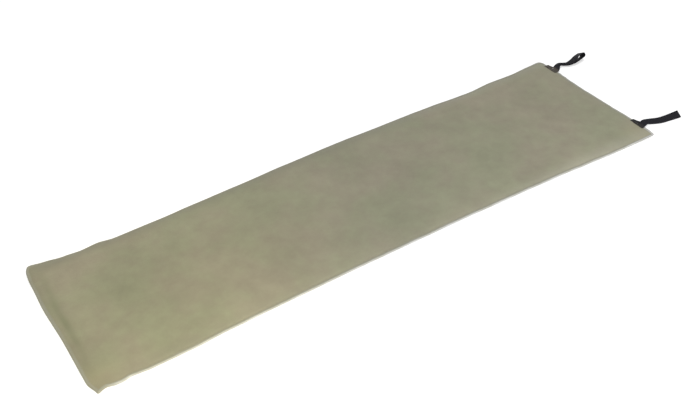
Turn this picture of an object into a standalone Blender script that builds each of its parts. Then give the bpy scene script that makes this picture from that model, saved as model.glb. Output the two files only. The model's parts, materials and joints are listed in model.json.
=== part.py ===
# Roll-up camping mat, lying open on the ground: a thin foam pad in a fabric cover,
# with two elastic loops at one end that hold it when it is rolled.
#
# Frame: +X along the mat from the foot end to the end with the loops, +Y to the left
# of someone looking that way, +Z up. The origin is on the ground, under the middle of
# the pad. All lengths are in metres and all angles in degrees.
#
# The pad bends everywhere, so it is cut across into short lengths, each a length of
# cover round a length of foam. A hinge at the upper face joins each length to the
# next. Every hinge turns by the same angle, and the lengths grow from the foot end in
# step with the layers of the roll, so the chain winds into a spiral of even layers.

import math

import bmesh
import bpy
from mathutils import Vector

# The pad
LENGTH = 1.830
WIDTH = 0.510
FOAM_THICKNESS = 0.0102
SHEET = 0.0006              # one sheet of cover fabric
FIT = 0.0003                # gap kept between touching pieces
CORNER_RADIUS = 0.030
SEAM_WIDTH = 0.009          # flat margin where the two sheets are sewn together
SEAM_HEIGHT = 0.004         # height of its middle above the ground
CROWN_REACH = 0.090         # from the seam to where the pad has its full thickness
CROWN_POWER = 4             # how quickly the top sheet rises from the seam
UNDER_REACH = 0.012         # from the seam to where the under sheet meets the ground
POCKET_INSET = 0.0027       # from the seam to the empty edge inside the cover
FOAM_INSET = 0.0081         # from the seam to the edge of the foam
FOAM_EASE = 0.0010          # how much later the foam rises than the sheets round it

# The roll
LENGTHS = 28
LENGTHS_PER_TURN = 7
LAYER_CLEARANCE = 0.0015    # air between one layer of the roll and the next
END_FLAP = 0.080            # end of the mat that stays flat beside the roll

# The loops
WEB_WIDTH = 0.025
WEB_THICKNESS = 0.0012
WEB_SPREAD = 0.0014         # between the two ends of a loop, side by side at the seam
WEB_SEPARATION = 0.0006     # air between the two runs of a loop
TAB_SEWN = 0.008            # length of webbing sewn down on the seam
TAB_FREE = 0.003            # length that stands past the edge of the mat
TAB_STITCHED = 0.003        # inner part of it, where one row of stitches joins both ends
LEFT_LOOP_INSET = 0.051     # from the left edge of the mat to the middle of the left loop
RIGHT_LOOP_INSET = 0.060    # from the right edge to the middle of the right loop

THICKNESS = FOAM_THICKNESS + 2 * SHEET + 2 * FIT
SEAM_TOP = SEAM_HEIGHT + SHEET
SEAM_UNDER = SEAM_HEIGHT - SHEET
MAT_END = LENGTH / 2
HINGE_ANGLE = 360 / LENGTHS_PER_TURN
LAYER_PITCH = THICKNESS + LAYER_CLEARANCE
TAB_UNDER = SEAM_TOP + FIT
TAB_TOP = TAB_UNDER + WEB_THICKNESS
LOOP_START = TAB_FREE + FIT
LEFT_LOOP_Y = WIDTH / 2 - LEFT_LOOP_INSET
RIGHT_LOOP_Y = RIGHT_LOOP_INSET - WIDTH / 2

# The route of each loop, from the seam to its tip: distance past the mat's edge,
# distance to the left of the loop's middle, height of its lowest edge above the
# ground, roll about its own run (degrees, far edge down), and half the air between
# its two runs. The left loop lies tilted with its tip open, the right one lies flat.
LEFT_ROUTE = [
    (LOOP_START, 0.000, TAB_UNDER, 0, 0.0000),
    (0.011, 0.000, 0.0046, 4, 0.0003),
    (0.029, -0.006, 0.0040, 34, 0.0003),
    (0.050, -0.015, 0.0008, 40, 0.0003),
    (0.077, -0.018, 0.0005, 38, 0.0014),
    (0.101, -0.011, 0.0005, 36, 0.0040),
    (0.123, -0.003, 0.0005, 35, 0.0048),
]
RIGHT_ROUTE = [
    (LOOP_START, 0.000, TAB_UNDER, 0, 0.0000),
    (0.011, 0.000, 0.0044, 4, 0.0003),
    (0.027, -0.010, 0.0030, 16, 0.0003),
    (0.046, -0.019, 0.0008, 15, 0.0003),
    (0.072, -0.027, 0.0005, 12, 0.0003),
    (0.110, -0.031, 0.0005, 4, 0.0006),
    (0.143, -0.033, 0.0005, 0, 0.0012),
]
SPREAD_FULL = 0.008         # how far past the seam the two ends of a loop stay side by side
SPREAD_GONE = 0.036         # where one run lies over the other
RUN_STEPS = 18
TIP_STEPS = 6
OVERCUT = 0.001


for old in list(bpy.data.objects):
    bpy.data.objects.remove(old, do_unlink=True)


def finish(name, colour, roughness):
    material = bpy.data.materials.new(name)
    material.use_nodes = True
    shader = material.node_tree.nodes["Principled BSDF"]
    shader.inputs["Base Color"].default_value = (*colour, 1)
    shader.inputs["Roughness"].default_value = roughness
    shader.inputs["Metallic"].default_value = 0
    return material


def add_axis(name, place, parent=None):
    """An empty that marks a hinge axis. What it carries is its child."""
    axis = bpy.data.objects.new(name, None)
    bpy.context.collection.objects.link(axis)
    axis.parent = parent
    axis.location = Vector(place) - (axis_place[parent.name] if parent else Vector())
    axis_place[name] = Vector(place)
    return axis


axis_place = {}


def add_piece(name, rings, look, parent):
    """A closed solid: the first ring is filled, then pushed on through the others."""
    origin = axis_place[parent.name]
    work = bmesh.new()
    cap = work.faces.new([work.verts.new(point - origin) for point in rings[0]])
    for before, after in zip(rings, rings[1:]):
        left_behind = cap
        pushed = bmesh.ops.extrude_face_region(work, geom=[cap])["geom"]
        cap = next(part for part in pushed if isinstance(part, bmesh.types.BMFace))
        if before is not rings[0]:
            bmesh.ops.delete(work, geom=[left_behind], context="FACES_ONLY")
        for corner in cap.verts:
            place = corner.co + origin
            nearest = min(range(len(before)), key=lambda n: (place - before[n]).length_squared)
            corner.co = after[nearest] - origin
    bmesh.ops.recalc_face_normals(work, faces=work.faces)
    bmesh.ops.triangulate(work, faces=work.faces, quad_method="LONG_EDGE", ngon_method="EAR_CLIP")
    mesh = bpy.data.meshes.new(name)
    work.to_mesh(mesh)
    work.free()
    mesh.materials.append(look)
    piece = bpy.data.objects.new(name, mesh)
    bpy.context.collection.objects.link(piece)
    piece.parent = parent
    return piece


def cut(piece, cutter):
    cutter.hide_render = True
    cutter.display_type = "WIRE"
    opening = piece.modifiers.new("opening", "BOOLEAN")
    opening.operation = "DIFFERENCE"
    opening.solver = "EXACT"
    opening.object = cutter


# The shape of the pad: how high its two faces stand at a depth inside the outline

STEPS_IN = [0, SEAM_WIDTH] + [
    SEAM_WIDTH + part
    for part in (POCKET_INSET, FOAM_INSET, 0.23 * CROWN_REACH, 0.5 * CROWN_REACH, CROWN_REACH)
]
UNDER_STEPS_IN = [step for step in STEPS_IN if step < SEAM_WIDTH + UNDER_REACH]
UNDER_STEPS_IN.append(SEAM_WIDTH + UNDER_REACH)
CORNER_STEPS_IN = [CORNER_RADIUS * (1 - math.cos(math.radians(turn))) for turn in (30, 60)]


def top_height(depth):
    reach = min(max((depth - SEAM_WIDTH) / CROWN_REACH, 0), 1)
    return SEAM_TOP + (THICKNESS - SEAM_TOP) * (1 - (1 - reach) ** CROWN_POWER)


def under_height(depth):
    reach = min(max((depth - SEAM_WIDTH) / UNDER_REACH, 0), 1)
    return SEAM_UNDER * (1 - reach) ** 2


def half_width(step, from_end):
    """Half the width of the outline drawn in by a step, at a distance from the end."""
    inset = min(step, from_end)
    if inset >= CORNER_RADIUS:
        return WIDTH / 2 - step
    into_corner = max(CORNER_RADIUS - from_end, 0)
    arc = math.sqrt(max((CORNER_RADIUS - inset) ** 2 - into_corner ** 2, 0))
    return WIDTH / 2 - CORNER_RADIUS + arc - (step - inset)


def cross_section(x, start, skin, ease):
    """A ring across the pad, from a depth inside its outline and under its surface."""
    from_end = MAT_END - abs(x)
    top = [
        (half_width(step, from_end), top_height(min(step, from_end) - ease) - skin)
        for step in STEPS_IN if step >= start
    ]
    under = [
        (half_width(step, from_end), under_height(min(step, from_end) - ease) + skin)
        for step in UNDER_STEPS_IN if step >= start
    ]
    ring = top + [(-y, z) for y, z in reversed(top)]
    ring += [(-y, z) for y, z in under] + list(reversed(under))
    return [Vector((x, y, z)) for y, z in ring]


def pad_rings(first, last, start=0, skin=0, ease=0):
    """The cross-sections of a stretch of the pad, closer together near its ends."""
    steps = sorted(set(STEPS_IN + UNDER_STEPS_IN + CORNER_STEPS_IN))
    places = [step - MAT_END for step in steps] + [MAT_END - step for step in steps]
    between = sorted(place for place in places if first + FIT < place < last - FIT)
    return [cross_section(x, start, skin, ease) for x in [first] + between + [last]]


# The lengths of the pad, from the foot end to the end with the loops

SIDE_PER_RADIUS = 2 * math.tan(math.radians(HINGE_ANGLE / 2))
RADIUS_GROWTH = LAYER_PITCH / LENGTHS_PER_TURN
CORE_RADIUS = (LENGTH - END_FLAP) / (SIDE_PER_RADIUS * LENGTHS) - RADIUS_GROWTH * (LENGTHS - 1) / 2

hinge_x = [-MAT_END]
for number in range(LENGTHS - 1):
    hinge_x.append(hinge_x[-1] + SIDE_PER_RADIUS * (CORE_RADIUS + RADIUS_GROWTH * number))

cover_fabric = finish("cover_fabric", (0.34, 0.32, 0.21), 0.9)
foam = finish("foam", (0.72, 0.66, 0.45), 0.95)
elastic_webbing = finish("elastic_webbing", (0.025, 0.025, 0.032), 0.7)

POCKET_START = SEAM_WIDTH + POCKET_INSET
FOAM_START = SEAM_WIDTH + FOAM_INSET


def add_length(number, carrier):
    """One length of cover round its length of foam. The two end lengths are closed."""
    label = f"{number + 1:02d}"
    is_foot = number == 0
    is_head = number == LENGTHS - 1
    first = -MAT_END if is_foot else hinge_x[number] + FIT / 2
    last = MAT_END if is_head else hinge_x[number + 1] - FIT / 2
    cover = add_piece("cover_" + label, pad_rings(first, last), cover_fabric, carrier)
    pocket_first = first + POCKET_START if is_foot else first - OVERCUT
    pocket_last = last - POCKET_START if is_head else last + OVERCUT
    pocket_rings = pad_rings(pocket_first, pocket_last, POCKET_START, SHEET)
    cut(cover, add_piece("pocket_" + label, pocket_rings, cover_fabric, carrier))
    foam_first = first + FOAM_START if is_foot else first
    foam_last = last - FOAM_START if is_head else last
    foam_rings = pad_rings(foam_first, foam_last, FOAM_START, SHEET + FIT, FOAM_EASE)
    add_piece("foam_core_" + label, foam_rings, foam, carrier)


ground = add_axis("ground", (0, 0, 0))
carrier = ground
for number in reversed(range(LENGTHS)):
    if number < LENGTHS - 1:
        place = (hinge_x[number + 1], 0, THICKNESS)
        carrier = add_axis(f"roll_axis_{number + 1:02d}", place, carrier)
    add_length(number, carrier)


# The loops: a tab with the two sewn ends of the webbing, and the loop itself

def add_tab(name, middle):
    """Two ends of webbing side by side, held together by the stitches behind them."""
    inner = MAT_END - TAB_SEWN
    outer = MAT_END + TAB_FREE
    notch = inner + TAB_STITCHED
    near = WEB_SPREAD / 2
    far = near + WEB_WIDTH
    outline = [
        (inner, -far), (outer, -far), (outer, -near), (notch, -near),
        (notch, near), (outer, near), (outer, far), (inner, far),
    ]
    rings = [[Vector((x, middle + y, z)) for x, y in outline] for z in (TAB_UNDER, TAB_TOP)]
    add_piece(name, rings, elastic_webbing, ground)


def along(route, share):
    """A smooth curve through the points of a route, read at a share of its steps."""
    place = share * (len(route) - 1)
    step = min(int(place), len(route) - 2)
    t = place - step
    before, start, end, after = (
        route[min(max(n, 0), len(route) - 1)] for n in (step - 1, step, step + 1, step + 2)
    )
    return [
        b + (c - a) * t / 2 + (2 * a - 5 * b + 4 * c - d) * t * t / 2
        + (3 * b - 3 * c + d - a) * t ** 3 / 2
        for a, b, c, d in zip(before, start, end, after)
    ]


def webbing_ring(centre, across, out):
    wide = across * WEB_WIDTH / 2
    thick = out * WEB_THICKNESS / 2
    return [centre + wide + thick, centre + wide - thick, centre - wide - thick, centre - wide + thick]


def loop_frame(route, share, middle):
    """Centre, run, width and rise of a loop at a share of its route, and its half opening."""
    past, aside, low, roll, air = along(route, share)
    further = along(route, min(share + 0.01, 1))
    nearer = along(route, max(share - 0.01, 0))
    beside = min(max((past - SPREAD_FULL) / (SPREAD_GONE - SPREAD_FULL), 0), 1)
    run = Vector((further[0] - nearer[0], further[1] - nearer[1], 0)).normalized()
    run = Vector((1, 0, 0)).lerp(run, beside).normalized()
    left = Vector((0, 0, 1)).cross(run)
    turn = math.radians(roll)
    across = left * math.cos(turn) - Vector((0, 0, math.sin(turn)))
    rise = left * math.sin(turn) + Vector((0, 0, math.cos(turn)))
    spread = (1 - beside) * (WEB_WIDTH + WEB_SPREAD) / 2
    apart = min(max((past - LOOP_START) / (SPREAD_FULL - LOOP_START), 0), 1)
    half_gap = apart * (WEB_THICKNESS / 2 + max(air, WEB_SEPARATION / 2))
    height = low + abs(across.z) * WEB_WIDTH / 2 + rise.z * (half_gap + WEB_THICKNESS / 2)
    centre = Vector((MAT_END + past, middle + aside, height))
    return centre, run, across, rise, spread, half_gap


def add_loop(name, middle, route):
    """The webbing goes out to the tip, turns there, and comes back under itself."""
    place = (MAT_END + TAB_FREE + FIT / 2, middle, TAB_TOP)
    swing_axis = add_axis(name + "_axis", place, ground)
    out_run = []
    back_run = []
    for step in range(RUN_STEPS + 1):
        centre, run, across, rise, spread, half_gap = loop_frame(route, step / RUN_STEPS, middle)
        offset = across * spread + rise * half_gap
        out_run.append(webbing_ring(centre + offset, across, rise))
        back_run.append(webbing_ring(centre - offset, across, -rise))
    tip = []
    for step in range(1, TIP_STEPS):
        turn = math.pi * step / TIP_STEPS
        out = rise * math.cos(turn) + run * math.sin(turn)
        tip.append(webbing_ring(centre + out * half_gap, across, out))
    rings = out_run + tip + list(reversed(back_run))
    add_piece(name, rings, elastic_webbing, swing_axis)


add_tab("loop_tab_left", LEFT_LOOP_Y)
add_tab("loop_tab_right", RIGHT_LOOP_Y)
add_loop("elastic_loop_left", LEFT_LOOP_Y, LEFT_ROUTE)
add_loop("elastic_loop_right", RIGHT_LOOP_Y, RIGHT_ROUTE)
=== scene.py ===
import json
import math

import bmesh
import bpy
from mathutils import Matrix, Vector, noise


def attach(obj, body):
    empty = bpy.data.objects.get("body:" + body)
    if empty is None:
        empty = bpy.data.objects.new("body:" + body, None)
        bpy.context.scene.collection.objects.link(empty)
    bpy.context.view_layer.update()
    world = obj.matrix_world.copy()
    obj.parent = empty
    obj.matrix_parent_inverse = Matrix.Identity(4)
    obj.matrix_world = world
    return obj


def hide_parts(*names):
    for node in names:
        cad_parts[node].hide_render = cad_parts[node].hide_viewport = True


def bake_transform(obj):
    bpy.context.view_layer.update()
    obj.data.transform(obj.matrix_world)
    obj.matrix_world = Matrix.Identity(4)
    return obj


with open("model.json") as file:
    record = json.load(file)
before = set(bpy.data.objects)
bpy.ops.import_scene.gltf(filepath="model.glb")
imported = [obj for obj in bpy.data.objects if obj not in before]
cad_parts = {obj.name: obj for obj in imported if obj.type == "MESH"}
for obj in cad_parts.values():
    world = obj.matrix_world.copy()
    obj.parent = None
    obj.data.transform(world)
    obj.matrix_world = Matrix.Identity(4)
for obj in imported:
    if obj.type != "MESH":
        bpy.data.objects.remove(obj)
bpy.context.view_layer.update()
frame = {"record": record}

# The cover's cut. Two sheets of brushed olive polyester lie face to face round the foam
# and are bonded and sewn together in a flat margin all round. Use has made the long edges
# wander, curled one corner of the foot end and pulled the other to a sharp tip.
HALF_LENGTH = 0.915
HALF_WIDTH = 0.255
MARGIN = 0.009              # the flat sewn margin
MARGIN_MIDDLE = 0.0040      # its height above the ground
MARGIN_HALF = 0.0006        # half its thickness
CREASE_PLACE = 0.0255       # a shallow crease inside the foot end, from many rollings up
CREASE_SLANT = 0.03
CREASE_WANDER = 0.0050
CREASE_REACH = 0.0100
CREASE_WAVES = 15           # how often its line wanders in a metre
CREASE_PATCHES = 24         # how often it is deeper or shallower in a metre
CREASE_PATCHINESS = 0.7
CREASE_MIDDLE = 0.01        # it is deepest here, across the mat, and fades over the half width below
CREASE_HALF_WIDTH = 0.15
CREASE_AT_ENDS = 0.25       # the share of it that is left by the corners
LIFT = 0.012                # how far the curled corner comes up
LIFT_REACH = 0.10
END_DRIFT_REACH = 0.30      # how far from an end its own wandering is felt
# Radius of each corner: at the head end or not, on the far side or not.
CORNER_RADII = {
    (False, True): 0.028,
    (False, False): 0.0045,
    (True, False): 0.009,
    (True, True): 0.019,
}
# How far each edge strays from straight: place along it, then how far to the left, or
# towards the head end.
NEAR_EDGE = [
    (-0.915, -0.0048), (-0.887, 0.0026), (-0.862, -0.0034), (-0.845, -0.0038), (-0.819, 0.0006),
    (-0.795, -0.0014), (-0.765, -0.0043), (-0.740, -0.0038), (-0.650, -0.0035), (-0.550, 0.0023),
    (-0.400, 0.0055), (-0.150, 0.0088), (0.200, 0.0090), (0.400, 0.0058), (0.550, 0.0022),
    (0.650, -0.0028), (0.750, -0.0080), (0.915, -0.0120),
]
FAR_EDGE = [
    (-0.915, 0.0118), (-0.850, 0.0098), (-0.800, 0.0030), (-0.750, -0.0015), (-0.700, 0.0022),
    (-0.650, -0.0053), (-0.500, -0.0040), (-0.400, 0.0000), (-0.250, 0.0035), (-0.100, 0.0090),
    (0.100, 0.0125), (0.250, 0.0095), (0.350, 0.0085), (0.450, 0.0058), (0.550, -0.0003),
    (0.600, -0.0025), (0.690, 0.0035), (0.780, 0.0005), (0.850, 0.0045), (0.915, 0.0060),
]
FOOT_EDGE = [
    (-0.255, 0.0112), (-0.210, 0.0), (-0.05, 0.0018), (0.08, -0.0012), (0.19, 0.0030),
    (0.255, 0.0085),
]
HEAD_EDGE = [
    (-0.255, 0.0042), (-0.225, 0.0068), (-0.15, 0.0055), (-0.04, 0.0002), (0.08, -0.0030),
    (0.17, -0.0005), (0.225, -0.0045), (0.255, -0.0045),
]


def eased(points, place):
    """A value read from (place, value) points, eased from each to the next."""
    for (start, low), (end, high) in zip(points, points[1:]):
        if place <= end:
            t = min(max((place - start) / (end - start), 0), 1)
            return low + (high - low) * t * t * (3 - 2 * t)
    return points[-1][1]


def rounded(u, v):
    """Where a point of the square-cut sheet lies once its corners are rounded."""
    radius = CORNER_RADII[u > 0, v > 0]
    from_end, from_side = HALF_LENGTH - abs(u), HALF_WIDTH - abs(v)
    across, depth = max(from_end, from_side), min(from_end, from_side)
    x, y = abs(u), abs(v)
    if across < radius:
        leg = radius - depth
        turn = (radius - across) / leg * math.pi / 4
        if from_side < from_end:
            turn = math.pi / 2 - turn
        x = HALF_LENGTH - radius + leg * math.cos(turn)
        y = HALF_WIDTH - radius + leg * math.sin(turn)
    return math.copysign(x, u), math.copysign(y, v)


def drifted(x, y):
    """The same point on the real mat, whose four edges aren't quite straight."""
    side = (y + HALF_WIDTH) / (2 * HALF_WIDTH)
    aside = eased(NEAR_EDGE, x) * (1 - side) + eased(FAR_EDGE, x) * side
    head = min(max(1 - (HALF_LENGTH - x) / END_DRIFT_REACH, 0), 1) ** 2
    foot = min(max(1 - (HALF_LENGTH + x) / END_DRIFT_REACH, 0), 1) ** 2
    return x + eased(HEAD_EDGE, y) * head + eased(FOOT_EDGE, y) * foot, y + aside


def crease_at(u, v):
    """How strongly the crease inside the foot end is pressed in: about 1 where it is deepest."""
    # A lone number in a noise, here and below, only picks which part of it is read.
    wander = CREASE_WANDER * noise.noise(Vector((v * CREASE_WAVES, 6.1, 0)))
    from_crease = HALF_LENGTH + u - CREASE_PLACE - CREASE_SLANT * v - wander
    patchy = 1 + CREASE_PATCHINESS * noise.noise(Vector((v * CREASE_PATCHES, 1.7, 0)))
    crease = patchy * math.exp(-(from_crease / CREASE_REACH) ** 2)
    inside = math.exp(-((v - CREASE_MIDDLE) / CREASE_HALF_WIDTH) ** 4)
    return crease * (CREASE_AT_ENDS + (1 - CREASE_AT_ENDS) * inside)


def lift_at(u, v):
    """How far the curled corner has come up off the ground."""
    from_corner = math.hypot(u + HALF_LENGTH, v - HALF_WIDTH)
    return LIFT * max(1 - from_corner / LIFT_REACH, 0) ** 2


# The rise of the upper sheet. The foam pushes it up from inside and the seam holds it
# down. A coarse cloth, held all round and blown up a little, finds how it rises from
# the seam, and the top of the foam stops it.
PRESS_CELL = 0.0125
PRESS_FRAMES = 20
PRESSURE = 0.6
PRESS_START = 0.0004        # how uneven the cloth is before it is blown up
PRESS_WAVES = 40            # and how often in a metre
FOAM_STOP = 0.0015


def new_piece(name, shape, material=None, smooth=False):
    """A finished shape, in its material, as a piece of the scene."""
    mesh = bpy.data.meshes.new(name)
    shape.to_mesh(mesh)
    shape.free()
    if material is not None:
        mesh.materials.append(material)
    if smooth:
        mesh.shade_smooth()
    piece = bpy.data.objects.new(name, mesh)
    bpy.context.scene.collection.objects.link(piece)
    return piece


def evened(before, here, after):
    """A line of heights, evened out with the lines on either side of it."""
    return [(a + 2 * b + c) / 4 for a, b, c in zip(before, here, after)]


def pressed_up():
    """How far the cloth rises inside the seam, in columns along the mat."""
    long, wide = 2 * (HALF_LENGTH - MARGIN), 2 * (HALF_WIDTH - MARGIN)
    columns, lines = round(long / PRESS_CELL), round(wide / PRESS_CELL)
    sheet = bmesh.new()
    bmesh.ops.create_grid(sheet, x_segments=columns, y_segments=lines, size=0.5)
    spots = []
    for corner in sheet.verts:
        spots.append((round((corner.co.x + 0.5) * columns), round((corner.co.y + 0.5) * lines)))
        corner.co = Vector((corner.co.x * long, corner.co.y * wide, 0))
        corner.co.z = PRESS_START * noise.noise(corner.co * PRESS_WAVES)
    piece = new_piece("pressed_sheet", sheet)
    mesh = piece.data
    sewn = piece.vertex_groups.new(name="sewn")
    held = [n for n, (m, k) in enumerate(spots) if m in (0, columns) or k in (0, lines)]
    sewn.add(held, 1.0, "REPLACE")
    cloth = piece.modifiers.new("cloth", "CLOTH")
    cloth.settings.quality = 6
    cloth.settings.mass = 0.1
    cloth.settings.tension_stiffness = 20
    cloth.settings.compression_stiffness = 20
    cloth.settings.bending_stiffness = 0.05
    cloth.settings.vertex_group_mass = "sewn"
    cloth.settings.use_pressure = True
    cloth.settings.uniform_pressure_force = PRESSURE
    cloth.settings.effector_weights.gravity = 0
    cloth.collision_settings.use_collision = False
    for frame_number in range(1, PRESS_FRAMES + 1):
        bpy.context.scene.frame_set(frame_number)
    risen = piece.evaluated_get(bpy.context.evaluated_depsgraph_get()).data
    heights = [[0.0] * (lines + 1) for _ in range(columns + 1)]
    for (n, m), corner in zip(spots, risen.vertices):
        heights[n][m] = abs(corner.co.z)
    bpy.data.objects.remove(piece)
    bpy.data.meshes.remove(mesh)
    bpy.context.scene.frame_set(1)
    for n in range(1, columns):     # first across the mat, then along it
        column = heights[n]
        heights[n] = [0.0, *evened(column, column[1:], column[2:]), 0.0]
    inner = [evened(*three) for three in zip(heights, heights[1:], heights[2:])]
    return [heights[0], *inner, heights[-1]]


risen_sheet = pressed_up()


def crown_at(u, v):
    """How full the pad is at a point, from 0 at the seam to 1 where the foam is thickest."""
    columns, lines = len(risen_sheet) - 1, len(risen_sheet[0]) - 1
    along = min(max((u / (HALF_LENGTH - MARGIN) + 1) / 2, 0), 1) * columns
    aside = min(max((v / (HALF_WIDTH - MARGIN) + 1) / 2, 0), 1) * lines
    n, m = min(int(along), columns - 1), min(int(aside), lines - 1)
    along, aside = along - n, aside - m
    near = risen_sheet[n][m] * (1 - along) + risen_sheet[n + 1][m] * along
    far = risen_sheet[n][m + 1] * (1 - along) + risen_sheet[n + 1][m + 1] * along
    return 1 - math.exp(-(near * (1 - aside) + far * aside) / FOAM_STOP)


# The two sheets, laid out flat, pressed to shape and joined along their edge. Beside the
# seam the upper one is gathered a little, and the margin droops, apart from the end with
# the loops. Cuts mark the middle of each length of the mat, where nothing bends.
THICKNESS = 0.0118          # from the ground to the upper face, where the pad is full
GROUND_GAP = 0.0002         # the under sheet's least height above the ground
UNDER_REACH = 0.013         # from the margin to where the under sheet lies flat
MARGIN_DROOP = 0.0026
DROOP_REACH = 0.0045
DROOP_FADE = 0.06           # it grows over this distance along the mat
DROOP_LATE = 0.4            # and starts this share of it from the head end
EDGE_ROUND = 0.0009         # the margin thins over this distance from its edge
EDGE_THIN = 0.35            # to this share of its thickness
GATHER_HEIGHT = 0.0007
GATHER_REACH = 0.011
GATHER_START = 0.004        # the gathers grow over this distance from the margin
GATHER_WAVES = 74           # in a metre, along the seam
GATHER_TWISTS = 24          # and away from it
SOFT_HEIGHT = 0.00045       # the uneven rise and fall of the upper face
SOFT_START = 0.05
FINER_SHARE = 0.6           # of its finer waves, against the broad ones
WAVE_HEIGHT = 0.0004        # the uneven rise and fall of the margin
MARGIN_WAVES = 33
CREASE_DEPTH = 0.0015
CREASE_START = 0.01
CREASE_SHADE_LAG = 0.003          # the crease's painted shade lies this far to the head end of it, on the slope turned from the light
CELL = 0.0065
# The cells beside the edge are finer. These are their distances from it.
EDGE_STEPS = [
    0, 0.0007, 0.0020, 0.0040, 0.0064, 0.0084, 0.0104, 0.0130, 0.0165, 0.021, 0.026, 0.0315,
    0.0375, 0.044,
]


def sheet_heights(u, v):
    """Heights of the upper and the under sheet, and how deep inside the outline they are."""
    depth = min(HALF_LENGTH - abs(u), HALF_WIDTH - abs(v))
    past_margin = max(depth - MARGIN, 0)
    level = min(past_margin / UNDER_REACH, 1)
    droop = MARGIN_DROOP * min(max((HALF_LENGTH - u) / DROOP_FADE - DROOP_LATE, 0), 1)
    middle = MARGIN_MIDDLE - droop * max(1 - depth / DROOP_REACH, 0) ** 2
    half = MARGIN_HALF * min(EDGE_THIN + depth / EDGE_ROUND, 1)
    near_end = HALF_LENGTH - abs(u) < HALF_WIDTH - abs(v)
    along = v if near_end else u
    gather = math.exp(-past_margin / GATHER_REACH) * min(depth / MARGIN, 1)
    gather *= noise.noise(Vector((along * GATHER_WAVES, depth * GATHER_TWISTS, 3.7 * near_end)))
    soft = noise.noise(Vector((u * 9, v * 12, 0.5)))
    soft += FINER_SHARE * noise.noise(Vector((u * 26, v * 30, 8)))
    top = middle + half + (THICKNESS - middle - half) * crown_at(u, v)
    gathered = GATHER_HEIGHT * gather * min(past_margin / GATHER_START, 1)
    top += gathered + SOFT_HEIGHT * soft * min(past_margin / SOFT_START, 1)
    top -= CREASE_DEPTH * crease_at(u, v) * min(past_margin / CREASE_START, 1)
    under = (middle - half) * (1 - level) ** 2 + GROUND_GAP
    wave = WAVE_HEIGHT * noise.noise(Vector((along * MARGIN_WAVES, 2.2, 9.1 * near_end)))
    wave *= 1 - level
    lift = lift_at(u, v)
    return top + wave + lift, max(under + wave, GROUND_GAP) + lift, depth


def steps_between(start, end):
    """Even steps from one place to another, about a cell long, without the first place."""
    count = max(round((end - start) / CELL), 1)
    return [start + (end - start) * n / count for n in range(1, count + 1)]


hinges = sorted(joint["pos_m"][0] for joint in frame["record"]["behaviour"]["joints"]
                if joint["name"].startswith("roll_"))
ends = [-HALF_LENGTH] + hinges
middles = [(a + b) / 2 for a, b in zip(ends, ends[1:])]
last_cut = 2 * hinges[-1] - middles[-1]
cuts = [-HALF_LENGTH] + middles[1:] + [last_cut, HALF_LENGTH]

places = [-HALF_LENGTH + step for step in EDGE_STEPS]
for cut in cuts[1:-1]:
    places += steps_between(places[-1], cut)
places += steps_between(places[-1], HALF_LENGTH - EDGE_STEPS[-1])
places += [HALF_LENGTH - step for step in reversed(EDGE_STEPS[:-1])]
rows = [-HALF_WIDTH + step for step in EDGE_STEPS]
rows += steps_between(rows[-1], HALF_WIDTH - EDGE_STEPS[-1])
rows += [HALF_WIDTH - step for step in reversed(EDGE_STEPS[:-1])]

cover = bmesh.new()
bmesh.ops.create_grid(cover, x_segments=len(places) - 1, y_segments=len(rows) - 1, size=0.5)
rest_layer = cover.verts.layers.float_vector.new("rest")
depth_layer = cover.verts.layers.float.new("depth")
upper_layer = cover.verts.layers.float.new("upper")
column_layer = cover.verts.layers.float.new("column")
crease_shade_layer = cover.verts.layers.float.new("crease")
for corner in cover.verts:
    corner[column_layer] = round((corner.co.x + 0.5) * (len(places) - 1))
    u = places[round(corner[column_layer])]
    v = rows[round((corner.co.y + 0.5) * (len(rows) - 1))]
    corner.co = Vector((u, v, 0))
    corner[upper_layer] = 1
copied = bmesh.ops.duplicate(cover, geom=list(cover.faces))["geom"]
under_faces = [part for part in copied if isinstance(part, bmesh.types.BMFace)]
for face in under_faces:
    for corner in face.verts:
        corner[upper_layer] = 0
bmesh.ops.reverse_faces(cover, faces=under_faces)
for corner in cover.verts:
    u, v = corner.co.x, corner.co.y
    top, under, depth = sheet_heights(u, v)
    x, y = drifted(*rounded(u, v))
    corner.co = Vector((x, y, top if corner[upper_layer] else under))
    corner[rest_layer] = corner.co
    corner[depth_layer] = depth
    # The crease's painted shade, set a little to the head end, on the slope turned from the light.
    corner[crease_shade_layer] = crease_at(u - CREASE_SHADE_LAG, v)
rim = [edge for edge in cover.edges if edge.is_boundary]
bmesh.ops.bridge_loops(cover, edges=rim)
bmesh.ops.recalc_face_normals(cover, faces=cover.faces)

# The cloth's face. Its brushed nap lies in soft patches, browner and greener, lighter and
# darker. The margin is pressed flat and greyer, and a pale line of painted highlight runs
# along its cut edge, mostly left off by the foot end, where that edge lies in shade. Painted
# shade darkens the crease and the two long seams, and the cloth is lighter and yellower
# around the two near corners. The under sheet is the same cloth, a little darker.
MARGIN_TONE = (0.375, 0.368, 0.300, 1)
MARGIN_EDGE = (0.0084, 0.0100)      # the pressed margin fades between these depths
UNEVEN_SHARES = (0.50, 1.0)         # of the margin's tone, from place to place
# A pale line of painted highlight along the cut edge.
EDGE_HIGHLIGHT_TONE = (0.60, 0.60, 0.575, 1)
EDGE_HIGHLIGHT_WIDTH = 0.0018                  # of the painted highlight along the cut edge, which fades out over the next
EDGE_HIGHLIGHT_FADE = 0.0034
CORNER_HIGHLIGHT_WIDTH = 0.0038             # how much wider the painted highlight is at the two near corners
FOOT_SHADE_PLACES = (-0.885, -0.845)  # towards the foot end, whose edge lies in shade, the highlight goes, between these places
FOOT_HIGHLIGHT_SHARE = 0.10               # apart from this share of it
# Painted shade in the crease inside the foot end.
CREASE_SHADE_TONE = (0.215, 0.235, 0.140, 1)
CREASE_SHADE_SHARE = 0.42
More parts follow.
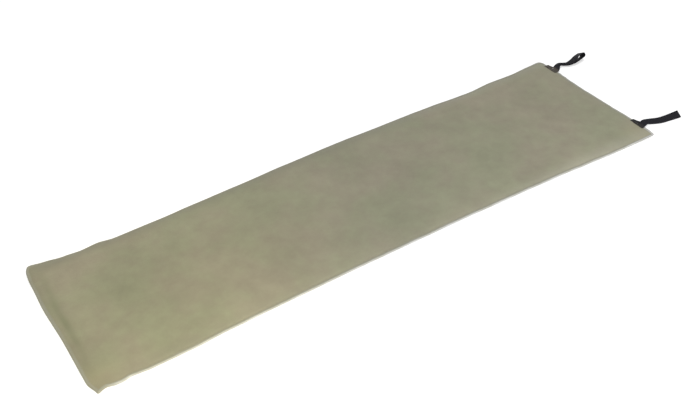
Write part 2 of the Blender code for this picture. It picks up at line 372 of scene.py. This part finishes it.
# Lighter and yellower around the two near corners.
CORNER_PALE_TONE = (0.44, 0.385, 0.235, 1)
CORNER_PALE_SHARE = 0.34
CORNER_PALE_REACH = (0.015, 0.120)
PALE_CORNERS = [(0.903, -0.267, 0.005), (-0.902, -0.258, 0.003)]    # the two on the right
SEAM_SHADE_TONE = (0.245, 0.240, 0.185, 1)     # painted shade along the two long seams
SEAM_PALER_TONE = (0.430, 0.420, 0.345, 1)      # the same band near the head end, painted paler
SEAM_PALER_PLACES = (0.15, 0.60)
# Where the painted shade lies, by distance from the middle, and its strongest share.
SEAM_SHADE_BAND = (0.205, 0.248)
SEAM_SHADE_SHARE = 0.32
UNDER_TONE = (0.25, 0.24, 0.165, 1)
FUZZ_SHARE = 0.6                    # of the fine fuzz in the nap, against its clouds
NAP_ROUGHNESS = (0.82, 0.95)


def fill(tree, socket, value):
    """Puts a value, or another node's output, into a socket."""
    if isinstance(value, bpy.types.NodeSocket):
        tree.links.new(value, socket)
    else:
        socket.default_value = value


def add_node(tree, kind, inputs, **settings):
    """A node with its settings and its inputs, by their names or numbers."""
    node = tree.nodes.new(kind)
    for name, value in settings.items():
        setattr(node, name, value)
    for key, value in inputs.items():
        fill(tree, node.inputs[key], value)
    return node


def worked(tree, operation, *values):
    """The result of a sum of values and other nodes' outputs."""
    return add_node(tree, "ShaderNodeMath", dict(enumerate(values)), operation=operation).outputs[0]


def ranged(tree, value, between, results, kind="SMOOTHSTEP"):
    """A value's place between two others, turned into a place between two results."""
    inputs = dict(enumerate((value, *between, *results)))
    return add_node(tree, "ShaderNodeMapRange", inputs, interpolation_type=kind).outputs[0]


def mixed(tree, share, first, second):
    """A colour that goes from the first to the second as the share grows."""
    return add_node(tree, "ShaderNodeMix", {0: share, 6: first, 7: second}, data_type="RGBA").outputs[2]


def speckle(tree, place, scale, detail, roughness):
    """A soft cloudy pattern."""
    inputs = {"Vector": place, "Scale": scale, "Detail": detail, "Roughness": roughness}
    return add_node(tree, "ShaderNodeTexNoise", inputs).outputs["Fac"]


def bumped(tree, height, strength, distance):
    """The face's direction where a pattern raises it."""
    inputs = {"Height": height, "Strength": strength, "Distance": distance}
    return add_node(tree, "ShaderNodeBump", inputs).outputs["Normal"]


def new_material(name):
    """A material, its nodes and its shader."""
    material = bpy.data.materials.new(name)
    material.use_nodes = True
    return material, material.node_tree, material.node_tree.nodes["Principled BSDF"]


nap_group = bpy.data.node_groups.new("nap", "ShaderNodeTree")
for label, kind in (("Place", "Vector"), ("Brown", "Color"), ("Green", "Color"),
                    ("Cloud", "Float"), ("Shade", "Float")):
    nap_group.interface.new_socket(label, in_out="INPUT", socket_type="NodeSocket" + kind)
for label, kind in (("Colour", "Color"), ("Height", "Float"), ("Roughness", "Float")):
    nap_group.interface.new_socket(label, in_out="OUTPUT", socket_type="NodeSocket" + kind)
nap_in = nap_group.nodes.new("NodeGroupInput").outputs
nap_out = nap_group.nodes.new("NodeGroupOutput").inputs
patch = speckle(nap_group, nap_in["Place"], scale=3.4, detail=4.0, roughness=0.68)
patch_share = ranged(nap_group, patch, (0.34, 0.66), (0.0, 1.0))
tone = mixed(nap_group, patch_share, nap_in["Brown"], nap_in["Green"])
cloud = speckle(nap_group, nap_in["Place"], scale=27.0, detail=4.0, roughness=0.6)
fuzz = speckle(nap_group, nap_in["Place"], scale=420.0, detail=2.0, roughness=0.7)
shade = add_node(nap_group, "ShaderNodeTexNoise",
                 {"Vector": nap_in["Place"], "W": 5.0, "Scale": 4.5, "Detail": 3.0, "Roughness": 0.60},
                 noise_dimensions="4D").outputs["Fac"]
cloud_signed = worked(nap_group, "SUBTRACT", cloud, 0.5)
fuzz_signed = worked(nap_group, "SUBTRACT", fuzz, 0.5)
shade_signed = worked(nap_group, "SUBTRACT", shade, 0.5)
fuzzy_cloud = worked(nap_group, "MULTIPLY_ADD", fuzz_signed, FUZZ_SHARE, cloud_signed)
clouded = worked(nap_group, "MULTIPLY_ADD", fuzzy_cloud, nap_in["Cloud"], 1.0)
level = worked(nap_group, "MULTIPLY_ADD", shade_signed, nap_in["Shade"], clouded)
shaded = add_node(nap_group, "ShaderNodeVectorMath", {0: tone, "Scale": level}, operation="SCALE")
fill(nap_group, nap_out["Colour"], shaded.outputs[0])
fill(nap_group, nap_out["Height"], fuzz)
nap_rough = ranged(nap_group, cloud, (0.3, 0.7), NAP_ROUGHNESS, "LINEAR")
fill(nap_group, nap_out["Roughness"], nap_rough)

cover_fabric, tree, shader = new_material("brushed_olive_polyester")
place = add_node(tree, "ShaderNodeAttribute", {}, attribute_name="rest").outputs["Vector"]
depth = add_node(tree, "ShaderNodeAttribute", {}, attribute_name="depth").outputs["Fac"]
upper_side = add_node(tree, "ShaderNodeAttribute", {}, attribute_name="upper").outputs["Fac"]
crease_shade = add_node(tree, "ShaderNodeAttribute", {}, attribute_name="crease").outputs["Fac"]
nap = tree.nodes.new("ShaderNodeGroup")
nap.node_tree = nap_group
fill(tree, nap.inputs["Place"], place)
nap.inputs["Brown"].default_value = (0.351, 0.319, 0.234, 1)
nap.inputs["Green"].default_value = (0.321, 0.322, 0.217, 1)
nap.inputs["Cloud"].default_value = 0.34
nap.inputs["Shade"].default_value = 0.48
# Painted shade along the crease, darker and greener.
crease_shade_share = worked(tree, "MULTIPLY", crease_shade, CREASE_SHADE_SHARE)
crease_shaded_colour = mixed(tree, crease_shade_share, nap.outputs["Colour"], CREASE_SHADE_TONE)
# Lighter and yellower around the two near corners.
from_corners = [
    add_node(tree, "ShaderNodeVectorMath", {0: place, 1: corner}, operation="DISTANCE").outputs["Value"]
    for corner in PALE_CORNERS
]
corner_pale = ranged(tree, worked(tree, "MINIMUM", *from_corners), CORNER_PALE_REACH, (1.0, 0.0))
corner_pale_colour = mixed(tree, worked(tree, "MULTIPLY", corner_pale, CORNER_PALE_SHARE), crease_shaded_colour, CORNER_PALE_TONE)
spot = add_node(tree, "ShaderNodeSeparateXYZ", {"Vector": place}).outputs
# Painted shade along the two long seams, painted paler towards the head end.
from_middle = worked(tree, "ABSOLUTE", spot["Y"])
seam_shade_share = ranged(tree, from_middle, SEAM_SHADE_BAND, (0.0, SEAM_SHADE_SHARE))
seam_paler = ranged(tree, spot["X"], SEAM_PALER_PLACES, (0.0, 1.0))
seam_shade_colour = mixed(tree, seam_paler, SEAM_SHADE_TONE, SEAM_PALER_TONE)
colour_with_seam_shade = mixed(tree, seam_shade_share, corner_pale_colour, seam_shade_colour)
uneven = add_node(tree, "ShaderNodeTexNoise", {"Vector": place, "Scale": 16.0, "Detail": 2.0})
uneven_share = ranged(tree, uneven.outputs["Fac"], (0.35, 0.65), UNEVEN_SHARES, "LINEAR")
pressed = ranged(tree, depth, MARGIN_EDGE, (1.0, 0.0))
margin_share = worked(tree, "MULTIPLY", pressed, uneven_share)
upper_colour = mixed(tree, margin_share, colour_with_seam_shade, MARGIN_TONE)
sheet_tone = mixed(tree, upper_side, UNDER_TONE, upper_colour)
# The painted highlight along the cut edge, wider at the two near corners and mostly left off along the
# shaded foot end.
highlight_from = worked(tree, "MULTIPLY_ADD", corner_pale, CORNER_HIGHLIGHT_WIDTH, EDGE_HIGHLIGHT_WIDTH)
highlight_to = worked(tree, "ADD", highlight_from, EDGE_HIGHLIGHT_FADE)
pale = ranged(tree, depth, (highlight_from, highlight_to), (1.0, 0.0))
highlight_past_foot = ranged(tree, spot["X"], FOOT_SHADE_PLACES, (FOOT_HIGHLIGHT_SHARE, 1.0))
highlight_evenness = worked(tree, "MULTIPLY", highlight_past_foot, uneven_share)
edge_highlight_share = worked(tree, "MULTIPLY", pale, highlight_evenness)
fill(tree, shader.inputs["Base Color"], mixed(tree, edge_highlight_share, sheet_tone, EDGE_HIGHLIGHT_TONE))
fill(tree, shader.inputs["Roughness"], nap.outputs["Roughness"])
fill(tree, shader.inputs["Normal"], bumped(tree, nap.outputs["Height"], strength=0.5, distance=0.0004))
shader.inputs["Sheen Weight"].default_value = 0.15
shader.inputs["Sheen Roughness"].default_value = 0.5
shader.inputs["Specular IOR Level"].default_value = 0.25

# The cover on the roll. The cloth runs in one piece over every hinge, so it is parted
# at the middle of each length, where nothing bends.
# Each part is a closed sleeve of cloth half a millimetre thick.
CLOTH = 0.0005


def over_hinge(piece, number):
    """Hangs a piece of the last length on that length; any other piece keeps its shape where it lies.
    """
    if number == len(hinges):
        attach(piece, "length_28")
        return
    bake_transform(piece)


part_layer = cover.faces.layers.int.new("part")
for face in cover.faces:
    column = max(corner[column_layer] for corner in face.verts)
    reach = places[round(column)] - CELL / 4
    face[part_layer] = next(n for n, cut in enumerate(cuts[1:]) if reach < cut)
for number in range(len(cuts) - 1):
    sleeve = cover.copy()
    sleeve_layer = sleeve.faces.layers.int["part"]
    other = [face for face in sleeve.faces if face[sleeve_layer] != number]
    bmesh.ops.delete(sleeve, geom=other, context="FACES")
    for edge in sleeve.edges:
        edge.smooth = not edge.is_boundary
    label = f"{number + 1:02d}"
    piece = new_piece("mat_cover_" + label, sleeve, cover_fabric, smooth=True)
    wall = piece.modifiers.new("cloth", "SOLIDIFY")
    wall.thickness = CLOTH
    wall.offset = -1
    over_hinge(piece, number)
    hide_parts("cover_" + label)
cover.free()

# The foam pad. One sheet of pale open-cell foam, about nine millimetres thick, its edges
# eased to fit the cover. It fills the cover and is parted at the same places.
FOAM_INSET = 0.017
FOAM_TOP = 0.0105
FOAM_UNDER = 0.0011
FOAM_EASE = 0.0012          # between the foam and the face of the cover
FOAM_CELL = 0.0045
FOAM_CUTS_ACROSS = 40

foam, tree, shader = new_material("open_cell_foam")
place = tree.nodes.new("ShaderNodeTexCoord").outputs["Object"]
cells = add_node(tree, "ShaderNodeTexVoronoi", {"Vector": place, "Scale": 900.0})
pitted = bumped(tree, cells.outputs["Distance"], strength=0.5, distance=0.0005)
fill(tree, shader.inputs["Normal"], pitted)
shader.inputs["Base Color"].default_value = (0.72, 0.66, 0.45, 1)
shader.inputs["Roughness"].default_value = 0.95


def runs(edge, axis):
    """Whether an edge of the uncut slab lies along an axis."""
    return abs((edge.verts[0].co - edge.verts[1].co)[axis]) > 0.5


for number, (low, high) in enumerate(zip(cuts, cuts[1:])):
    low = max(low, FOAM_INSET - HALF_LENGTH)
    high = min(high, HALF_LENGTH - FOAM_INSET)
    count = max(round((high - low) / FOAM_CELL), 1)
    slab = bmesh.new()
    bmesh.ops.create_cube(slab, size=1)
    lengthwise = [edge for edge in slab.edges if runs(edge, 0)]
    bmesh.ops.subdivide_edges(slab, edges=lengthwise, cuts=count - 1, use_grid_fill=True)
    crosswise = [edge for edge in slab.edges if runs(edge, 1)]
    bmesh.ops.subdivide_edges(slab, edges=crosswise, cuts=FOAM_CUTS_ACROSS, use_grid_fill=True)
    for corner in slab.verts:
        x = low + (corner.co.x + 0.5) * (high - low)
        y = corner.co.y * 2 * (HALF_WIDTH - FOAM_INSET)
        top, under, _ = sheet_heights(x, y)
        lift = lift_at(x, y)
        if corner.co.z > 0:
            height = min(top - FOAM_EASE, FOAM_TOP + lift)
        else:
            height = max(under + FOAM_EASE, FOAM_UNDER + lift)
        corner.co = Vector((*drifted(x, y), height))
    label = f"{number + 1:02d}"
    piece = new_piece("foam_pad_" + label, slab, foam)
    over_hinge(piece, number)
    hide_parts("foam_core_" + label)

# The seam's stitches. One row of olive thread runs all round, just inside the edge of
# the margin, and shows on both faces as short stitches sunk into the cloth.
STITCH_DEPTH = 0.0080
STITCH_PITCH = 0.0036
STITCH_LENGTH = 0.0026
STITCH_RADIUS = 0.00032
STITCH_PROUD = 0.00005      # the height of its middle over the cloth's face
POINTS_A_STITCH = 5

thread, tree, shader = new_material("olive_thread")
shader.inputs["Base Color"].default_value = (0.17, 0.16, 0.105, 1)
shader.inputs["Roughness"].default_value = 0.6


def seam_line(depth):
    """Points of the flat sheet all round it, a fifth of a stitch apart."""
    long, wide = HALF_LENGTH - depth, HALF_WIDTH - depth
    corners = [(-long, -wide), (long, -wide), (long, wide), (-long, wide), (-long, -wide)]
    for (a, b), (c, d) in zip(corners, corners[1:]):
        count = round(math.hypot(c - a, d - b) / STITCH_PITCH * POINTS_A_STITCH)
        for n in range(count):
            yield a + (c - a) * n / count, b + (d - b) * n / count


def sew(row, shape):
    """One stitch more, a small ball of thread drawn out and laid by its matrix."""
    bmesh.ops.create_uvsphere(row, u_segments=6, v_segments=4, radius=1, matrix=shape)


stitch_rows = [bmesh.new() for _ in cuts[1:]]
stitch = Matrix.Diagonal((STITCH_LENGTH / 2, STITCH_RADIUS, STITCH_RADIUS, 1))
walked, last, waiting = 0.0, None, 0.0
for u, v in seam_line(STITCH_DEPTH):
    x, y = drifted(*rounded(u, v))
    here = Vector((x, y, 0))
    if last is not None:
        walked += (here - last).length
        if walked >= waiting:
            waiting += STITCH_PITCH
            top, under, _ = sheet_heights(u, v)
            run = (here - last).normalized()
            turned = Matrix((run, Vector((-run.y, run.x, 0)), Vector((0, 0, 1)))).transposed().to_4x4()
            number = next(n for n, high in enumerate(cuts[1:]) if x <= high or n == len(hinges))
            for height in (top + STITCH_PROUD, under - STITCH_PROUD):
                sew(stitch_rows[number], Matrix.Translation((x, y, height)) @ turned @ stitch)
    last = here
for number, row in enumerate(stitch_rows):
    piece = new_piece(f"seam_stitches_{number + 1:02d}", row, thread, smooth=True)
    over_hinge(piece, number)

# The loops. Each is one length of flat black elastic, folded in half and sewn down on
# the seam by both ends, side by side. The far end turns under the near one at once, and
# both bunch up in a narrow neck. They are pulled over the roll to hold it.
WEB_WIDTH = 0.025
WEB_THICKNESS = 0.0012
WEB_SEPARATION = 0.0006
TAB_SEWN = 0.0120           # how far each end reaches in from the mat's edge
TAB_MIDDLE = 0.0136         # from the loop's middle to the middle of either end
TAB_HEIGHT = 0.0055         # of the webbing's middle over the ground, at the mat's edge
TAB_EASE = 0.0002           # how far an end sinks into the nap
FAR_END_TURN = (0.003, 0.014)  # where it turns, past the mat's edge
FAR_END_NARROWED = 0.3      # and the share of its width that it loses on the way
LOOP_MIDDLES = {"left": 0.200, "right": -0.195}
# Distance past the mat's edge, distance to the left of the loop's middle, height of the
# lowest edge, roll in degrees, half the air between the two runs, and share of the width.
LOOP_ROUTES = {
    "left": [
        (0.0000, -TAB_MIDDLE, TAB_HEIGHT - WEB_THICKNESS / 2, 0, 0.0003, 1.00),
        (0.0060, -0.0100, 0.0048, 2, 0.0003, 0.98),
        (0.0180, -0.0005, 0.0040, 6, 0.0003, 0.76),
        (0.0320, 0.0040, 0.0030, 6, 0.0003, 0.70),
        (0.0460, -0.0015, 0.0012, 6, 0.0003, 0.72),
        (0.0600, -0.0085, 0.0005, 10, 0.0010, 0.84),
        (0.0800, -0.0095, 0.0005, 18, 0.0036, 1.00),
        (0.1000, -0.0065, 0.0005, 27, 0.0066, 1.00),
        (0.1220, -0.0020, 0.0012, 30, 0.0068, 1.00),
    ],
    "right": [
        (0.0000, -TAB_MIDDLE, TAB_HEIGHT - WEB_THICKNESS / 2, 0, 0.0003, 1.00),
        (0.0110, -0.0122, 0.0046, 0, 0.0003, 0.98),
        (0.0240, -0.0080, 0.0034, -4, 0.0003, 0.90),
        (0.0420, -0.0135, 0.0010, -8, 0.0003, 0.92),
        (0.0700, -0.0250, 0.0005, -8, 0.0003, 0.98),
        (0.1050, -0.0310, 0.0005, -10, 0.0006, 1.00),
        (0.1390, -0.0375, 0.0005, -24, 0.0012, 1.00),
    ],
}
ROUTE_NEARBY = 0.01         # a route's direction is read this share of it to either side
STRAIGHT_START = 0.012      # a run turns from straight to its own way over this distance
OPENING_START = 0.006       # and the two runs part over this one
RUN_STEPS = 80
TIP_STEPS = 12
TAB_STEPS = 6
ACROSS_STEPS = 16
PLEATS = 2                  # folds across the webbing where it bunches up
RIB_PITCH = 0.0014          # of the weave, across the webbing
PICK_PITCH = 0.0011         # and along it
PICK_SHARE = 0.4            # how high the one stands against the other
DARK_TONE = (0.008, 0.008, 0.010, 1)
LIGHT_TONE = (0.020, 0.020, 0.025, 1)
END_PALE_TONE = (0.140, 0.125, 0.104, 1)       # paler and browner at the sewn ends, the left loop's most
END_PALE_PLACES = (0.915, 0.926)               # it fades between these, along the mat
END_PALE_SHARES = (0.20, 0.72)                 # on the right and on the left loop
END_PALE_SIDES = (-0.05, 0.05)                 # where the one share turns into the other
TACK_STEPS = (1, 4)         # the two rows of stitches that hold each sewn end
TACK_PITCH = 0.0028
TACK_LENGTH = 0.0021
TACK_RADIUS = 0.00030
TACK_PROUD = 0.00008

elastic, tree, shader = new_material("black_woven_elastic")
lie = add_node(tree, "ShaderNodeUVMap", {}, uv_map="weave").outputs["UV"]
split = add_node(tree, "ShaderNodeSeparateXYZ", {"Vector": lie}).outputs
ribs = worked(tree, "SINE", worked(tree, "MULTIPLY", split["Y"], 2 * math.pi / RIB_PITCH))
picks = worked(tree, "SINE", worked(tree, "MULTIPLY", split["X"], 2 * math.pi / PICK_PITCH))
weave = worked(tree, "MULTIPLY_ADD", picks, PICK_SHARE, ribs)
highest = 1 + PICK_SHARE
weave_share = ranged(tree, weave, (-highest, highest), (0.0, 1.0), "LINEAR")
elastic_colour = mixed(tree, weave_share, DARK_TONE, LIGHT_TONE)
place = tree.nodes.new("ShaderNodeTexCoord").outputs["Object"]
spot = add_node(tree, "ShaderNodeSeparateXYZ", {"Vector": place}).outputs
# Paler and browner where the ends are sewn down, the left loop's most.
sewn_share = ranged(tree, spot["X"], END_PALE_PLACES, (1.0, 0.0))
side_share = ranged(tree, spot["Y"], END_PALE_SIDES, END_PALE_SHARES, "LINEAR")
end_pale_share = worked(tree, "MULTIPLY", sewn_share, side_share)
fill(tree, shader.inputs["Base Color"], mixed(tree, end_pale_share, elastic_colour, END_PALE_TONE))
fill(tree, shader.inputs["Normal"], bumped(tree, weave, strength=0.6, distance=0.0002))
shader.inputs["Roughness"].default_value = 0.7
shader.inputs["Specular IOR Level"].default_value = 0.10

black_thread, tree, shader = new_material("black_thread")
shader.inputs["Base Color"].default_value = (0.030, 0.030, 0.034, 1)
shader.inputs["Roughness"].default_value = 0.6
shader.inputs["Specular IOR Level"].default_value = 0.2


def along(route, share):
    """A smooth curve through the points of a route, read at a share of its steps."""
    place = share * (len(route) - 1)
    step = min(int(place), len(route) - 2)
    t = place - step
    before, start, end, after = (
        route[min(max(n, 0), len(route) - 1)] for n in (step - 1, step, step + 1, step + 2)
    )
    return [
        b + (c - a) * t / 2 + (2 * a - 5 * b + 4 * c - d) * t * t / 2
        + (3 * b - 3 * c + d - a) * t ** 3 / 2
        for a, b, c, d in zip(before, start, end, after)
    ]


def loop_frame(middle, route, share):
    """Centre, run, width, rise, half opening, share of the width and pleats at a share of a route."""
    past, aside, low, roll, air, width = along(route, share)
    further = along(route, min(share + ROUTE_NEARBY, 1))
    nearer = along(route, max(share - ROUTE_NEARBY, 0))
    run = Vector((further[0] - nearer[0], further[1] - nearer[1], 0)).normalized()
    run = Vector((1, 0, 0)).lerp(run, min(past / STRAIGHT_START, 1)).normalized()
    left = Vector((0, 0, 1)).cross(run)
    turn = math.radians(roll)
    across = left * math.cos(turn) - Vector((0, 0, math.sin(turn)))
    rise = left * math.sin(turn) + Vector((0, 0, math.cos(turn)))
    half_gap = min(past / OPENING_START, 1) * (WEB_THICKNESS / 2 + max(air, WEB_SEPARATION / 2))
    pleat = WEB_WIDTH / (8 * PLEATS) * math.sqrt(max(1 - width * width, 0))
    edge_rise = abs(across.z) * WEB_WIDTH / 2 * width
    height = low + edge_rise + pleat + rise.z * (half_gap + WEB_THICKNESS / 2)
    centre = Vector((HALF_LENGTH + past, middle + aside, height))
    return centre, run, across, rise, half_gap, width, pleat


for side, route in LOOP_ROUTES.items():
    middle = LOOP_MIDDLES[side]
    mat_edge = HALF_LENGTH + eased(HEAD_EDGE, middle)
    turn_start, turn_end = FAR_END_TURN
    over, back = [], []
    for step in range(RUN_STEPS + 1):
        centre, run, across, rise, half_gap, width, pleat = loop_frame(middle, route, step / RUN_STEPS)
        t = min(max((centre.x - mat_edge - turn_start) / (turn_end - turn_start), 0), 1)
        turned = t * t * (3 - 2 * t)
        beside = Vector((0, middle + TAB_MIDDLE - centre.y, 0)) * (1 - turned)
        narrowed = width * (1 - FAR_END_NARROWED * math.sin(math.pi * turned))
        over.append((centre + rise * half_gap, across, rise, width, pleat))
        back.append((centre - rise * half_gap + beside, across, rise, narrowed, pleat))
    tip = []
    for step in range(1, TIP_STEPS):
        turn = math.pi * step / TIP_STEPS
        out = rise * math.cos(turn) + run * math.sin(turn)
        tip.append((centre + out * half_gap, across, out, 1, 0))
    reach = TAB_SEWN - (mat_edge - HALF_LENGTH)
    sewn = []
    for n in range(TAB_STEPS):
        shift = -reach * (1 - n / TAB_STEPS)
        top = sheet_heights(2 * HALF_LENGTH + shift - mat_edge, middle)[0]
        sewn.append(Vector((shift, 0, max(top - MARGIN_MIDDLE - MARGIN_HALF - TAB_EASE, 0))))
    line = [(over[0][0] + shift, *over[0][1:]) for shift in sewn] + over + tip
    line += reversed(back)
    line += [(back[0][0] + shift, *back[0][1:]) for shift in reversed(sewn)]
    lengths = [0.0]
    for here, there in zip(line, line[1:]):
        lengths.append(lengths[-1] + (there[0] - here[0]).length)

    web = bmesh.new()
    weave_map = web.loops.layers.uv.new("weave")
    bmesh.ops.create_grid(web, x_segments=len(line) - 1, y_segments=ACROSS_STEPS, size=0.5)
    flat = {}
    for corner in web.verts:
        flat[corner] = round((corner.co.x + 0.5) * (len(line) - 1)), corner.co.y
    for corner, (step, share) in flat.items():
        centre, across, rise, width, pleat = line[step]
        fold = rise * pleat * math.cos(2 * math.pi * PLEATS * share)
        corner.co = centre + across * share * WEB_WIDTH * width + fold
    for face in web.faces:
        for loop in face.loops:
            step, share = flat[loop.vert]
            loop[weave_map].uv = (lengths[step], share * WEB_WIDTH)
    piece = new_piece("elastic_webbing_" + side, web, elastic, smooth=True)
    wall = piece.modifiers.new("webbing", "SOLIDIFY")
    wall.thickness = WEB_THICKNESS
    wall.offset = 0
    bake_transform(piece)
    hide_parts("elastic_loop_" + side, "loop_tab_" + side)

    tacks = bmesh.new()
    per_row = int(WEB_WIDTH / TACK_PITCH)
    lying = Matrix.Diagonal((TACK_RADIUS, TACK_LENGTH / 2, TACK_RADIUS, 1))
    for centre, across, rise, width, pleat in (over[0], back[0]):
        for row in TACK_STEPS:
            for n in range(per_row):
                aside = across * (n - (per_row - 1) / 2) * TACK_PITCH
                place = centre + sewn[row] + aside + rise * (WEB_THICKNESS / 2 + TACK_PROUD)
                sew(tacks, Matrix.Translation(place) @ lying)
    piece = new_piece("loop_stitches_" + side, tacks, black_thread, smooth=True)
    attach(piece, "length_28")

# The studio: a white floor and an even white sky, a soft lamp high up, a long low lamp
# along either side and a weak warm one over the foot end.
FLOOR_GLOW = 0.52           # what makes the floor white to the camera, but not on the mat
SKY_LEVEL = 0.305
FLOOR_SIZE = 30
FLOOR_DEPTH = 0.0001        # how far the floor lies under the mat


def seen_at_all(tree):
    """1 where something looks at a surface, 0 where it only lights others."""
    rays = tree.nodes.new("ShaderNodeLightPath").outputs
    directly = worked(tree, "MAXIMUM", rays["Is Camera Ray"], rays["Is Glossy Ray"])
    return worked(tree, "MAXIMUM", directly, rays["Is Transmission Ray"])


floor_white, tree, shader = new_material("white_floor")
shader.inputs["Base Color"].default_value = (0.9, 0.9, 0.9, 1)
shader.inputs["Roughness"].default_value = 1
shader.inputs["Specular IOR Level"].default_value = 0
shader.inputs["Emission Color"].default_value = (1, 1, 1, 1)
glow = worked(tree, "MULTIPLY", seen_at_all(tree), FLOOR_GLOW)
fill(tree, shader.inputs["Emission Strength"], glow)
ground = bmesh.new()
just_under = Matrix.Translation((0, 0, -FLOOR_DEPTH))
bmesh.ops.create_grid(ground, x_segments=1, y_segments=1, size=FLOOR_SIZE, matrix=just_under)
floor = new_piece("floor", ground, floor_white)

sky = bpy.data.worlds.new("sky")
sky.use_nodes = True
tree = sky.node_tree
background = tree.nodes["Background"]
brightness = ranged(tree, seen_at_all(tree), (0.0, 1.0), (SKY_LEVEL, 1.0), "LINEAR")
fill(tree, background.inputs["Strength"], brightness)
background.inputs["Color"].default_value = (1, 1, 1, 1)
bpy.context.scene.world = sky


def aimed(name, data, place, target):
    """Hangs a lamp at a place and turns it to its target."""
    lamp = bpy.data.objects.new(name, data)
    lamp.location = place
    lamp.rotation_euler = (Vector(target) - Vector(place)).to_track_quat("-Z", "Y").to_euler()
    bpy.context.scene.collection.objects.link(lamp)


def long_lamp(name, energy, place, target):
    """A long low lamp beside the mat."""
    lamp = bpy.data.lights.new(name, "AREA")
    lamp.shape = "RECTANGLE"
    lamp.size = 3.2
    lamp.size_y = 0.35
    lamp.energy = energy
    aimed(name, lamp, place, target)


high = bpy.data.lights.new("high", "SUN")
high.energy = 0.85
high.angle = math.radians(25)
aimed("high", high, (0.6, 0.3, 3.0), (0, 0, 0))
long_lamp("low", 14.5, (0.25, -1.08, 0.30), (0.25, -0.1, 0.0))
long_lamp("across", 5.3, (0.0, 1.20, 0.32), (0.0, 0.1, 0.0))
warm = bpy.data.lights.new("warm", "SPOT")
warm.energy = 25.5
warm.color = (1.0, 0.86, 0.24)
warm.spot_size = math.radians(52)
warm.spot_blend = 1.0
warm.shadow_soft_size = 0.2
aimed("warm", warm, (-0.80, -1.10, 1.15), (-0.72, -0.12, 0))

bpy.context.scene.view_settings.view_transform = "Standard"

# The camera stands to the right of the foot end, almost two metres up, and looks along
# the mat. Its place and turn were fitted to the mat's corners in the photo.
CAMERA_PLACE = (-1.203, -1.9885, 1.914)
CAMERA_RIGHT = Vector((0.84320, -0.53630, -0.03750))
CAMERA_UP = Vector((0.36726, 0.52367, 0.76869))
lens = bpy.data.cameras.new("camera")
lens.sensor_width = 36
lens.lens = 53.43
camera = bpy.data.objects.new("camera", lens)
backwards = CAMERA_RIGHT.cross(CAMERA_UP)
turned = Matrix((CAMERA_RIGHT, CAMERA_UP, backwards)).transposed().to_4x4()
camera.matrix_world = Matrix.Translation(CAMERA_PLACE) @ turned
bpy.context.scene.collection.objects.link(camera)
bpy.context.scene.camera = camera
